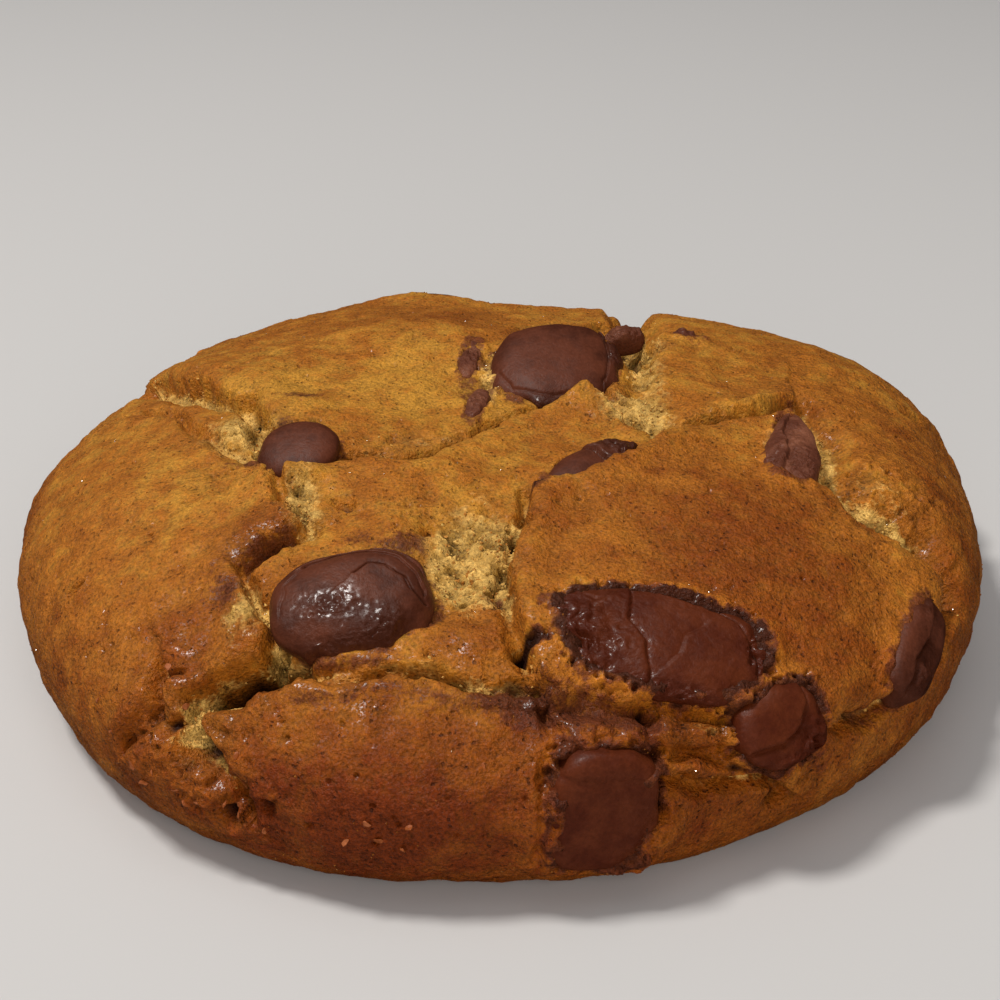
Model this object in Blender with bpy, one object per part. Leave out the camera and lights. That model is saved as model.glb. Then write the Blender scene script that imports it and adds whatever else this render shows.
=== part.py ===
"""Chocolate chip cookie: a thick domed cookie whose crust has split into plates, with chocolate discs
and chunks set in it. It lies on its flat underside, and its front, the side away from +Y, is the one
with the melted chocolate. A place on the crust is given in millimetres on the crust map: (u, v) lies
as far from the middle of the top as (u, v) is long, measured over the crust, in the same direction.
"""

import math
from dataclasses import dataclass

import bmesh
import bpy
import numpy as np
from mathutils import Euler, Matrix, Vector

# Driving dimensions, in millimetres
MM = 0.001
RADIUS = 50.0
HEIGHT = 25.5
SHOULDER = 9.0
FOOT_INSET = 5.0
DOME_POWER = 2.7
DIP_DEPTH = 2.0
DIP_RADIUS = 18.0
CLEARANCE = 0.3

# The plan isn't round: for each whole number of lobes, how far they swell along cos and along sin
PLAN_LOBES = ((0.0, -0.4), (1.1, 0.5), (0.9, 1.3), (-1.0, 0.9), (-1.0, -0.1), (0.1, -0.5))

# Fineness of the solids
DOUGH_SUBDIVISIONS = 7
DOUGH_TRIANGLES = 6800
UNDERSIDE_SHARE = 0.3


@dataclass
class Crack:
    """A split in the crust. The crust to the left of its path stands step mm above the right side."""

    path: tuple
    width: float
    depth: float
    step: float = 0.0
    spread: float = 5.0


@dataclass
class Swell:
    """A rounded rise of the crust, or a hollow where its height is negative."""

    place: tuple
    half_size: tuple
    height: float
    turn: float = 0.0


@dataclass
class Chip:
    """A piece of chocolate: size is length, width and thickness, and proud is how far it stands out.

    A lean tips it about its own length and width, in degrees. A high power makes it blocky.
    """

    name: str
    place: tuple
    size: tuple
    proud: float
    turn: float = 0.0
    lean: tuple = (0.0, 0.0)
    power: float = 2.3
    subdivisions: int = 3


CRACKS = (
    # Behind the middle band, which ends in a crisp ridge
    Crack(((-20.5, -15.5), (-16, -13), (-11, -13), (-6, -10), (-1, -5), (4, -0.5), (9, 2.5)), 1.5, 3.2, -1.6),
    # Between the middle band and the back right plate
    Crack(((10, 2), (12, 0), (15, -3.5), (19, -7.5)), 1.6, 2.0, 0.4),
    Crack(((19, -7.5), (23.5, -5.5), (27.5, -1.5), (30.5, 2.5)), 1.0, 1.4, -0.6),
    # The notch beside the back disc, which also nicks the outline seen from the front
    Crack(((17.5, 34), (17, 26), (16, 18.5), (15, 13.5), (13.5, 7), (12, 1)), 2.0, 2.8),
    # The raised, jagged left edge of the big front right plate
    Crack(
        (
            (19, -7.5),
            (13, -12),
            (9.5, -16.5),
            (5, -19.5),
            (2.5, -20.5),
            (2, -24),
            (1, -28.5),
            (0, -32.5),
            (1.5, -37.5),
            (4, -43),
        ),
        1.4,
        2.0,
        1.8,
    ),
    # The rift on the right, down to the chunk in the right flank
    Crack(((30.5, 2), (31.5, -5), (31, -13), (34, -16.5), (40.5, -19.5), (44, -22.5)), 2.2, 1.8, -0.8),
    Crack(((44, -22.5), (42.5, -27), (40, -35), (36, -39.5), (33, -42)), 1.2, 1.6, -0.7),
    # The fine line over the left lobe, and the steep face behind it
    Crack(((-44, 6), (-39, 6), (-34.5, 3), (-30.5, -4.5), (-26, -9.5), (-23, -12.5)), 0.9, 0.9),
    Crack(((-40, 20), (-34.5, 11.5), (-30, 7.5), (-25.5, 2.5), (-23.5, -1), (-22.5, -7.5)), 2.4, 1.8, 2.0),
    # The right edge of the left lobe, past the front left disc to the dark hole
    Crack(((-21, -15.5), (-20.5, -19), (-17.5, -23), (-17.5, -27), (-21, -30), (-20.5, -37)), 1.2, 1.2, -0.8),
    Crack(((-20.5, -37), (-22.5, -40), (-26, -42), (-28, -45), (-25, -50.5)), 1.1, 1.6),
    # The top edge of the front lobe, and its right edge down the flank
    Crack(((-22.5, -40.5), (-18.5, -41.2), (-14, -42.2), (-8.5, -43.5), (0, -44.6), (4, -46)), 1.7, 2.0, -0.9),
    Crack(((4, -46), (5, -48.5), (4.5, -51), (4.5, -55), (5.5, -59.5), (7, -62)), 1.0, 1.6, -0.3),
    # The broken crust of the front right flank
    Crack(((5, -45.5), (10.5, -45.2), (16, -44.8), (21, -43.6)), 1.4, 0.9),
    Crack(((6.5, -50), (10, -49.4), (13.5, -49.6), (17, -49), (20, -48)), 0.9, 1.1),
    Crack(((13, -54), (14.5, -52), (18.5, -51.5), (22.5, -50), (29, -49.5), (31.5, -47.5)), 0.9, 1.2),
    # The left flank
    Crack(((-30, -38.5), (-31, -41.5), (-34, -42.5), (-38, -42)), 0.9, 1.2),
    # The back and the sides that face away
    Crack(((-24, 26), (-21, 34), (-24, 41), (-22, 50)), 1.5, 2.0, 0.8),
    Crack(((-22, 38), (-12, 40), (-3, 38), (6, 41), (17, 38)), 1.3, 1.8, -0.9),
    Crack(((20, 24), (28, 29), (33, 36), (32, 46)), 1.4, 1.6, 0.7),
    Crack(((-42, 16), (-49, 15), (-55, 19)), 1.1, 1.3),
    Crack(((44, 10), (50, 13), (57, 11)), 1.0, 1.2),
)

SWELLS = (
    # The plates and lobes
    Swell((20, -27), (15, 14), 0.9),
    Swell((-10, -53), (13, 7), 1.2),
    Swell((-37, -14), (11, 15), 0.6),
    Swell((-9, 17), (10, 8), 1.3),
    Swell((-5, -16), (12, 5), 0.7, 10),
    Swell((44, -6), (7, 12), 0.8),
    Swell((38, 17), (10, 9), 0.9, 30),
    Swell((0, -62), (26, 6), 0.9),
    Swell((18, 46), (14, 10), 1.6),
    Swell((-34, 34), (12, 9), 0.7, -40),
    # The open crumb: between the discs and the front right plate, round the left disc, and beside the notch
    Swell((-3, -29), (4.2, 8), -2.0),
    Swell((-17.5, -20), (3.5, 4), -0.9),
    Swell((-25, -7), (4, 4), -1.0),
    Swell((15.5, -2), (5, 3), -1.0, -30),
    Swell((36, -16), (4, 3), -1.1),
    # The dark holes
    Swell((-21, -40.6), (2.6, 1.0), -3.0),
    Swell((-27.6, -46), (1.4, 1.6), -1.6),
    Swell((1.6, -24.5), (0.9, 1.1), -1.6),
    Swell((1.4, -39.6), (0.9, 0.9), -1.4),
    Swell((14.9, -54.7), (1.1, 0.7), -1.2),
    Swell((29, -52), (1.3, 0.8), -1.2),
)

DISC_POWER = 2.6
CHUNK_POWER = 3.2
COARSE = 2

CHIPS = (
    # Those that the front shows, from the largest
    Chip("disc_front_right", (13.3, -39.4), (17.0, 9.0, 4.2), 0.9, -2, (0, 0), DISC_POWER),
    Chip("disc_front_left", (-12.9, -34.5), (14.3, 10.8, 6.2), 2.6, 10, (6, 0), DISC_POWER),
    Chip("disc_back", (5.8, 10.0), (13.6, 12.4, 6.0), 2.6, 8, (14, 0), DISC_POWER),
    Chip("chunk_front_flank", (9.4, -54.8), (8.6, 9.2, 4.4), 0.9, 4, (0, 0), CHUNK_POWER),
    Chip("chunk_front_right", (25.4, -44.9), (8.4, 6.6, 4.2), 1.1, 20, (0, 0), CHUNK_POWER),
    Chip("chunk_right_flank", (39.9, -32.2), (10.6, 4.4, 4.4), 1.5, 56, (0, 0), CHUNK_POWER),
    Chip("disc_left", (-19.7, -9.9), (7.6, 5.6, 4.6), 1.9, 10, (20, 0), DISC_POWER),
    Chip("disc_middle", (8.9, -13.8), (9.4, 4.4, 4.2), 1.6, 42, (10, 0), DISC_POWER),
    Chip("chunk_right", (28.9, -8.8), (9.6, 4.6, 4.6), 1.6, 76, (0, -12), CHUNK_POWER, COARSE),
    Chip("bit_notch_left", (14.0, 21.0), (4.4, 3.0, 3.2), 1.3, 15, (12, 0), CHUNK_POWER, COARSE),
    Chip("bit_notch_right", (19.4, 18.2), (3.4, 2.6, 2.8), 1.0, -40, (10, 0), CHUNK_POWER, COARSE),
    Chip("sliver_back", (-3.4, 11.6), (8.0, 2.0, 2.8), 0.8, 84, (0, 0), CHUNK_POWER, COARSE),
    Chip("sliver_ridge", (-2.5, 2.0), (6.0, 1.9, 2.8), 0.8, 78, (0, 0), CHUNK_POWER, COARSE),
    # Those on the sides that face away
    Chip("disc_rear", (-8.0, 46.0), (13.6, 11.0, 5.2), 1.6, -10, (0, 0), DISC_POWER, COARSE),
    Chip("chunk_rear_flank", (16.0, 53.0), (9.0, 7.6, 4.4), 1.0, 10, (0, 0), CHUNK_POWER, COARSE),
    Chip("disc_rear_left", (-38.0, 37.0), (10.6, 8.8, 4.6), 1.3, 40, (0, 0), DISC_POWER, COARSE),
    Chip("chunk_left_flank", (-56.0, 18.0), (8.2, 6.2, 4.2), 0.9, 75, (0, 0), CHUNK_POWER, COARSE),
    Chip("disc_rear_right", (41.0, 36.0), (10.4, 8.6, 4.6), 1.2, -35, (0, 0), DISC_POWER, COARSE),
)

# Noise: a block of random heights, read by position with a smooth blend between them
NOISE_CELLS = 32
NOISE_HEIGHTS = np.random.default_rng(11).uniform(-1.0, 1.0, (NOISE_CELLS,) * 3)


def noise(points, size):
    """Smooth noise from -1 to 1 at each of the points, with bumps about size mm wide."""
    scaled = points / size
    cell = np.floor(scaled).astype(int)
    part = scaled - cell
    part = part * part * (3 - 2 * part)
    total = np.zeros(len(points))
    for corner in np.ndindex(2, 2, 2):
        weight = np.prod(np.where(corner, part, 1 - part), axis=1)
        total += weight * NOISE_HEIGHTS[tuple(((cell + corner) % NOISE_CELLS).T)]
    return total


def profile():
    """The half section over the top and down to the foot: reach over the crust, radius and height."""
    steps = 400
    share = np.sin(np.linspace(0, math.pi / 2, steps))
    turn = np.linspace(0, math.pi / 2, steps // 4)[1:]
    dip = DIP_DEPTH * np.exp(-((share * RADIUS / DIP_RADIUS) ** 2))
    top = SHOULDER + (HEIGHT - SHOULDER) * np.sqrt(np.clip(1 - share**DOME_POWER, 0, 1)) - dip
    radius = np.append(share * RADIUS, RADIUS - FOOT_INSET * (1 - np.cos(turn)))
    height = np.append(top, SHOULDER * (1 - np.sin(turn)))
    reach = np.append(0, np.cumsum(np.hypot(np.diff(radius), np.diff(height))))
    return reach, radius, height


PROFILE = profile()
CRUST_REACH = PROFILE[0][-1]


def plan_scale(angle):
    """How far the plan reaches in a direction, over its mean radius."""
    swell = sum(c * np.cos(k * angle) + s * np.sin(k * angle) for k, (c, s) in enumerate(PLAN_LOBES, 1))
    return 1 + swell / RADIUS


def crust(places):
    """The smooth crust, without its relief, at places on the crust map."""
    reach = np.hypot(*places.T)
    angle = np.arctan2(places[:, 1], places[:, 0])
    radius = np.interp(reach, PROFILE[0], PROFILE[1]) * plan_scale(angle)
    height = np.interp(reach, PROFILE[0], PROFILE[2])
    return np.stack([radius * np.cos(angle), radius * np.sin(angle), height], axis=1)


def crust_normal(places):
    """The outward direction of the smooth crust."""
    near = 0.3
    along_u = crust(places + (near, 0)) - crust(places - (near, 0))
    along_v = crust(places + (0, near)) - crust(places - (0, near))
    normal = np.cross(along_u, along_v)
    return normal / np.linalg.norm(normal, axis=1, keepdims=True)


def distance_to(path, places):
    """How far each place is from a path, with a plus to the left of it and a minus to the right."""
    nearest = np.full(len(places), np.inf)
    signed = np.zeros(len(places))
    for start, end in zip(np.array(path[:-1], float), np.array(path[1:], float)):
        run = end - start
        offset = places - start
        share = np.clip(offset @ run / (run @ run), 0, 1)
        distance = np.linalg.norm(offset - share[:, None] * run, axis=1)
        side = np.sign(run[0] * offset[:, 1] - run[1] * offset[:, 0])
        closer = distance < nearest
        nearest = np.where(closer, distance, nearest)
        signed = np.where(closer, side * distance, signed)
    return signed


def relief(places, points):
    """How far the crust stands out from its smooth form at each place."""
    ragged = 0.8 * np.stack([noise(points, 4.0), noise(points + 50, 4.0)], axis=1)
    total = 0.45 * noise(points, 13.0) + 0.22 * noise(points, 5.0)
    for swell in SWELLS:
        turn = math.radians(swell.turn)
        offset = places + ragged - swell.place
        along = offset @ (math.cos(turn), math.sin(turn)) / swell.half_size[0]
        across = offset @ (-math.sin(turn), math.cos(turn)) / swell.half_size[1]
        total += swell.height * np.exp(-(along**2 + across**2))
    for crack in CRACKS:
        signed = distance_to(crack.path, places + ragged)
        distance = np.abs(signed)
        total -= crack.depth * np.exp(-((distance / crack.width) ** 2))
        total += 0.5 * crack.step * np.tanh(signed / 0.5) * np.exp(-distance / crack.spread)
    to_foot = CRUST_REACH - np.hypot(*places.T)
    return total * np.clip(to_foot / 9, 0, 1)


def crust_surface(places):
    """The crust with its relief."""
    smooth = crust(places)
    return smooth + crust_normal(places) * relief(places, smooth)[:, None]


def cookie_surface(directions):
    """Lays the points of a ball over the cookie: its lower part is the flat underside."""
    fall = np.arccos(np.clip(directions[:, 2], -1, 1)) / math.pi
    angle = np.arctan2(directions[:, 1], directions[:, 0])
    heading = np.stack([np.cos(angle), np.sin(angle)], axis=1)
    foot = 1 - UNDERSIDE_SHARE
    reach = CRUST_REACH * np.minimum(fall / foot, 1)
    points = crust_surface(heading * reach[:, None])
    below = fall > foot
    inward = ((1 - fall[below]) / UNDERSIDE_SHARE)[:, None]
    foot_radius = (RADIUS - FOOT_INSET) * plan_scale(angle[below])[:, None]
    points[below, :2] = heading[below] * foot_radius * inward
    points[below, 2] = 0.0
    return points


def shape_mesh(name, subdivisions, shape):
    """A ball whose points are moved by shape, which takes and returns them in millimetres."""
    mesh = bpy.data.meshes.new(name)
    body = bmesh.new()
    bmesh.ops.create_icosphere(body, subdivisions=subdivisions, radius=1.0)
    points = np.array([vert.co for vert in body.verts])
    for vert, point in zip(body.verts, shape(points)):
        vert.co = point * MM
    body.to_mesh(mesh)
    body.free()
    mesh.shade_smooth()
    return mesh


def new_object(name, mesh, collection, parent):
    obj = bpy.data.objects.new(name, mesh)
    obj.parent = parent
    collection.objects.link(obj)
    return obj


def new_collection(name):
    collection = bpy.data.collections.new(name)
    bpy.context.scene.collection.children.link(collection)
    return collection


def new_material(name, color, roughness):
    material = bpy.data.materials.new(name)
    material.use_nodes = True
    shader = material.node_tree.nodes["Principled BSDF"]
    shader.inputs["Base Color"].default_value = (*color, 1.0)
    shader.inputs["Roughness"].default_value = roughness
    shader.inputs["Metallic"].default_value = 0.0
    return material


def chip_mesh(chip, grow, name):
    """The chip's own form about its centre, each side moved out by grow mm."""
    half = np.array(chip.size) / 2

    def shape(directions):
        rounding = np.sum(np.abs(directions) ** chip.power, axis=1) ** (-1 / chip.power)
        form = directions * rounding[:, None] * (half + grow)
        uneven = 1 + 0.05 * noise(directions * half + chip.place[0], 4.0)
        return form * uneven[:, None]

    return shape_mesh(name, chip.subdivisions, shape)


def chip_matrix(chip):
    """Where the chip lies: flat on the crust, then turned and tipped, and sunk all but its proud part."""
    place = np.array([chip.place], float)
    normal = Vector(crust_normal(place)[0])
    ahead = Vector((1, 0, 0))
    across = normal.cross(ahead).normalized()
    flat = Matrix((across.cross(normal), across, normal)).transposed().to_4x4()
    lean = Euler((math.radians(chip.lean[0]), math.radians(chip.lean[1]), 0)).to_matrix().to_4x4()
    turn = Matrix.Rotation(math.radians(chip.turn), 4, "Z")
    point = Vector(crust_surface(place)[0]) - normal * (chip.size[2] / 2 - chip.proud)
    return Matrix.Translation(point * MM) @ flat @ lean @ turn


def make_dough(collection, parent, material):
    mesh = shape_mesh("dough", DOUGH_SUBDIVISIONS, cookie_surface)
    mesh.materials.append(material)
    dough = new_object("dough", mesh, collection, parent)
    simpler = dough.modifiers.new("Fewer triangles", "DECIMATE")
    simpler.ratio = DOUGH_TRIANGLES / len(mesh.polygons)
    return dough


def make_chip(chip, dough, parts, cutters, parent, material):
    """One chip in its node, and the pocket that it leaves in the dough."""
    matrix = chip_matrix(chip)
    piece = new_object(chip.name, chip_mesh(chip, 0.0, chip.name), parts, parent)
    piece.data.materials.append(material)
    piece.matrix_basis = matrix
    pocket_name = "pocket_" + chip.name
    pocket = new_object(pocket_name, chip_mesh(chip, CLEARANCE, pocket_name), cutters, parent)
    pocket.matrix_basis = matrix
    pocket.display_type = "WIRE"
    pocket.hide_render = True
    cut = dough.modifiers.new(pocket_name, "BOOLEAN")
    cut.operation = "DIFFERENCE"
    cut.solver = "EXACT"
    cut.object = pocket


def centre_offset(mesh):
    """What brings the middle of the dough's plan to the origin."""
    points = np.array([vert.co for vert in mesh.vertices])
    middle = (points.min(axis=0) + points.max(axis=0)) / 2
    return Vector((-middle[0], -middle[1], 0))


for old in list(bpy.data.objects):
    bpy.data.objects.remove(old)

PARTS = new_collection("chocolate_chip_cookie")
CUTTERS = new_collection("pockets")
COOKIE = new_object("cookie_origin", None, PARTS, None)
CRUST_MATERIAL = new_material("baked_crust", (0.30, 0.12, 0.035), 0.6)
CHOCOLATE_MATERIAL = new_material("chocolate", (0.085, 0.030, 0.016), 0.4)

DOUGH = make_dough(PARTS, COOKIE, CRUST_MATERIAL)
for each in CHIPS:
    make_chip(each, DOUGH, PARTS, CUTTERS, COOKIE, CHOCOLATE_MATERIAL)
COOKIE.location = centre_offset(DOUGH.data)
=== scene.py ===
import math
from dataclasses import dataclass

import bmesh
import bpy
import numpy as np
from mathutils import Euler, Matrix, Vector


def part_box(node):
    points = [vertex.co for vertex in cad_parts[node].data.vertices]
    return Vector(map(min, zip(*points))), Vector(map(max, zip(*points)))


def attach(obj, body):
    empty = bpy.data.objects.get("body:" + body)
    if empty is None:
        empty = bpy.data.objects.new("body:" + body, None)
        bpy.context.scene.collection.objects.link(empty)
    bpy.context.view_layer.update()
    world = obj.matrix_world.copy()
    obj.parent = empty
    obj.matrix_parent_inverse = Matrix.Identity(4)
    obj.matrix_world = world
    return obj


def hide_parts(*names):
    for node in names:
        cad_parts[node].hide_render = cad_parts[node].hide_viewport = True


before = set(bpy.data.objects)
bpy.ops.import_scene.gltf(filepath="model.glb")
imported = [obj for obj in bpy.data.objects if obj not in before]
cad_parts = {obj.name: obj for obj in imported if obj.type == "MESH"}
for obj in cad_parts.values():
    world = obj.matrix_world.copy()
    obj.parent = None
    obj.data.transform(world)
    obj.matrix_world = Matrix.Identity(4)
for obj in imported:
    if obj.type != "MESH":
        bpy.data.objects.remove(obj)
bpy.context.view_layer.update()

MM = 0.001

# The dough: one thick mound of soft cookie dough, baked until its crust browned and split into plates.
# Places on it are given in millimetres on the crust map: (u, v) lies as far from the middle of the top
# as (u, v) is long, measured over the crust, in the same direction. The front is the side away from +Y.

RADIUS = 50.0
HEIGHT = 25.5
SHOULDER = 9.0
FOOT_INSET = 5.0
DOME_POWER = 2.7
DIP_DEPTH = 2.0
DIP_RADIUS = 18.0
PLAN_LOBES = ((0.0, -0.4), (1.1, 0.5), (0.9, 1.3), (-1.0, 0.9), (-1.0, -0.1), (0.1, -0.5))
UNDERSIDE_SHARE = 0.3
MIDDLE = (0.10, -1.30, 0.0)
DOUGH_SUBDIVISIONS = 9
DRAWN_IN = 0.996
DOUGH_TRIANGLES = 194000


@dataclass
class Crack:
    """A split in the crust. The crust to the left of its path stands step mm above the right side."""

    path: tuple
    width: float
    depth: float
    step: float = 0.0
    spread: float = 5.0


@dataclass
class Patch:
    """A soft-edged area: a rise or hollow of the crust, or a stain or bare patch on it."""

    place: tuple
    half_size: tuple
    amount: float
    turn: float = 0.0


@dataclass
class Chip:
    """A piece of chocolate: size is its length, width and thickness, turn and lean are in degrees.

    A high power makes it blocky. What melted is uneven and lies under a rim of stained, pitted crust.
    raised is how many mm higher it lies than its node does, and taper how much it narrows along its length.
    Its marks are lines in its skin and its rough parts are torn or bubbled, in mm along it and across it.
    """

    name: str
    place: tuple
    size: tuple
    turn: float = 0.0
    lean: tuple = (0.0, 0.0)
    power: float = 2.3
    melted: float = 0.0
    raised: float = 0.0
    taper: float = 0.0
    marks: tuple = ()
    rough: tuple = ()


CRACKS = (
    # Behind the middle band, which ends in a crisp ridge
    Crack(
        (
            (-21.0, -15.2),
            (-15.3, -12.5),
            (-12.1, -12.2),
            (-9.3, -13.0),
            (-6.9, -12.2),
            (-4.3, -9.6),
            (-1.8, -6.0),
            (2.0, -2.1),
            (5.0, 0.4),
            (8.6, 2.8),
        ),
        1.3,
        2.6,
        -2.4,
        4.0,
    ),
    Crack(((8.6, 2.8), (9.6, 0.6), (12, -1.5), (14, -6)), 0.9, 1.6, -1.4, 3.0),
    # The upper edge of the big front right plate, then down its raised, jagged left edge
    Crack(
        (
            (17.1, -8.0),
            (14.6, -10.8),
            (11.9, -13.7),
            (8.0, -17.6),
            (4.8, -18.6),
            (2.6, -19.0),
            (2.8, -21.5),
            (2.0, -24),
            (1.2, -28.5),
            (0.6, -33),
            (1.0, -37.5),
            (3.0, -42),
        ),
        0.8,
        1.0,
        2.6,
        4.0,
    ),
    Crack(((30.0, 0.6), (27.5, -1.4), (24.4, -3.4), (20.8, -5.8), (17.1, -8.0)), 1.2, 2.8, 0.9, 2.5),
    # The notch beside the back disc, which also nicks the outline seen from the front
    Crack(((21.5, 50), (19.4, 42), (18.0, 34), (17.1, 27), (16.4, 20), (15.2, 15)), 2.3, 4.6, 0.9, 3.0),
    Crack(((15.2, 15), (14.2, 9), (13, 3)), 1.6, 1.3),
    # The rift on the right, down to the chunk in the right flank
    Crack(((30.5, 2), (31.5, -5), (31, -13), (34, -16.5), (40.5, -19.5), (44, -22.5)), 2.0, 2.4, -1.2),
    Crack(((44, -22.5), (42.5, -27), (40, -35), (36, -39.5), (33, -42)), 1.2, 1.6, -0.9),
    # The fine line over the left lobe, and the steep face behind it
    Crack(((-44, 6), (-39, 6), (-34.5, 3), (-30.5, -4.5), (-26, -9.5), (-23, -12.5)), 0.7, 0.9, -0.5, 3.0),
    Crack(((-40, 20), (-34.5, 11.5), (-30, 7.5), (-25.5, 2.5), (-23.5, -1), (-22.5, -7.5)), 1.8, 2.0, 2.0),
    # The right edge of the left lobe, past the front left disc to the dark hole
    Crack(((-21, -15.5), (-20.6, -20), (-18.5, -21.5), (-18.3, -24.5)), 0.5, 1.1, -0.6, 3.0),
    Crack(((-18.3, -24.5), (-23.6, -27.6), (-22.4, -30), (-20.6, -34.3), (-20.5, -38)), 1.0, 1.5, -1.2, 3.0),
    Crack(
        ((-20.5, -38), (-23.5, -40.6), (-27.5, -41.5), (-29, -44.3), (-27.2, -47), (-25, -51)),
        1.2,
        2.2,
        -0.6,
    ),
    # The top edge of the front lobe, and its right edge down the flank
    Crack(((-25, -41.6), (-23, -40.8), (-18.0, -41.0)), 1.0, 3.6, -0.8),
    Crack(((-18.0, -41.0), (-14, -42.0), (-8.5, -43.3), (0, -44.6), (4.2, -45.2)), 0.7, 1.1, -0.9),
    Crack(((4.2, -45.2), (5.4, -48.7), (4.6, -50.4), (4.3, -54), (4.6, -59.3)), 0.7, 0.6, 0.5, 3.0),
    # The broken crust of the front right flank
    Crack(((5, -45.7), (10.5, -45.4), (16, -45.0), (21, -44.4)), 1.0, 1.1, 0.5),
    Crack(((6.5, -50.2), (11.9, -50.1), (13.6, -49.4), (19.2, -48.4), (21, -47.6)), 0.7, 1.3, 0.4, 3.0),
    Crack(((13.3, -49.6), (12.8, -48.1), (13.6, -46.6)), 0.6, 1.1),
    Crack(
        ((13.0, -53.4), (13.9, -51.6), (18.1, -51.2), (21.2, -50.2), (25, -49.6), (30, -50.4)),
        0.8,
        1.4,
        0.5,
    ),
    Crack(((13.0, -53.4), (11.5, -56), (9.5, -58.5)), 0.7, 1.2, -0.4),
    # The left flank
    Crack(((-30.1, -38.0), (-29.8, -41), (-32.5, -42.6), (-36, -42.8)), 0.9, 1.3, 0.5),
    Crack(((-41.9, -25.5), (-39.8, -25.1)), 0.45, 0.9),
    # The back and the sides that face away
    Crack(((-24, 43), (-23, 52), (-26, 58)), 1.4, 2.0, 0.8),
    Crack(((-22, 38), (-12, 40), (-3, 38), (6, 41), (17, 38)), 1.2, 1.8, -1.1),
    Crack(((35, 41), (34, 47), (38, 52)), 1.3, 1.6, 0.5),
    Crack(((-42, 16), (-49, 15), (-55, 19)), 1.1, 1.3),
    Crack(((44, 10), (50, 13), (57, 11)), 1.0, 1.2),
)

SWELLS = (
    # The plates and lobes
    Patch((20, -27), (15, 14), 0.9),
    Patch((-10, -53), (13, 7), 1.2),
    Patch((-37, -14), (11, 15), 0.6),
    Patch((-9, 17), (10, 8), 1.3),
    Patch((-5, -16), (12, 5), 0.7, 10),
    Patch((44, -6), (7, 12), 0.8),
    Patch((38, 17), (10, 9), 0.9, 30),
    Patch((0, -62), (26, 6), 0.9),
    Patch((18, 46), (14, 10), 1.6),
    Patch((-34, 34), (12, 9), 0.7, -40),
    # The tip of the middle band, the bulge at the left lobe's edge, and lumps round the front right chunk
    Patch((8.2, 1.6), (2.2, 1.6), 0.9, 35),
    Patch((-18.8, -16.4), (2.6, 1.6), 1.2, 10),
    Patch((-26, -3), (3, 4), 1.0, -30),
    Patch((-34, -42), (3, 5), 0.7),
    Patch((-8, 38.5), (8, 2.5), 0.8),
    Patch((24, 0.5), (5, 2.2), 0.6, 20),
    Patch((-20.5, -22.5), (4.5, 2.2), 0.8, 25),
    Patch((-2.5, -38.5), (6, 2.6), 0.8),
    Patch((31, -39.5), (3, 2), 0.6, 20),
    # The open crumb: between the discs and the front right plate, round the left disc, and beside the notch
    Patch((-3, -29), (4.2, 8), -2.0),
    Patch((-17.5, -20), (3.5, 4), -0.9),
    Patch((-24.5, -9.5), (3, 2.4), -0.8),
    Patch((15.5, -3), (4, 2.4), -0.6, -30),
    Patch((36.5, -17), (6, 2.6), -1.3, -28),
    # The lumpy edge of the back right plate, and the crust that laps over the chunk in the front flank
    Patch((19.5, -4.4), (1.4, 0.9), 0.5, 35),
    Patch((22.3, -2.4), (1.5, 1.0), 0.6, 35),
    Patch((25.2, -0.6), (1.3, 1.0), 0.5, 35),
    Patch((27.8, 1.0), (1.5, 1.1), 0.6, 35),
    Patch((15.2, -57.5), (2.4, 5.0), 1.4, -35),
    Patch((3.4, -55), (2.0, 6.0), 0.7),
    Patch((7.0, -63.0), (5, 2.2), 0.8),
)

# Small hollows under broken crust; the shade inside them is painted into the crust's colour
HOLLOWS = (
    Patch((-21.4, -40.4), (2.8, 1.1), 4.4),
    Patch((-27.2, -46.0), (1.6, 0.7), 2.0, -40),
    Patch((-29.3, -42.6), (1.2, 0.6), 1.8, -20),
    Patch((1.5, -25.0), (0.8, 1.0), 3.0),
    Patch((2.4, -40.5), (1.2, 0.8), 2.8),
    Patch((14.8, -54.7), (0.9, 0.6), 2.4),
    Patch((29, -52), (1.2, 0.8), 2.4),
    Patch((22.6, -49.3), (2.2, 0.5), 1.6),
    Patch((12.6, -46.2), (0.6, 1.2), 1.8),
    Patch((-26.3, -51.6), (1.2, 1.0), 1.8),
    Patch((-21.3, -52.2), (0.9, 0.7), 1.6),
    Patch((-6.5, -24.0), (0.6, 0.9), 1.6),
    Patch((-13.8, -20.5), (0.7, 1.0), 1.4),
    Patch((-11.5, -42.6), (0.9, 0.4), 1.8),
    Patch((-7.0, -43.2), (0.8, 0.4), 1.8),
    Patch((-3.6, -43.9), (1.2, 0.4), 2.0),
    Patch((35.2, -13.6), (0.6, 0.8), 1.2),
    Patch((38.4, -15.8), (0.8, 0.6), 1.2),
    Patch((-28.9, -38.6), (1.4, 0.4), 1.4, 20),
)

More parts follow.
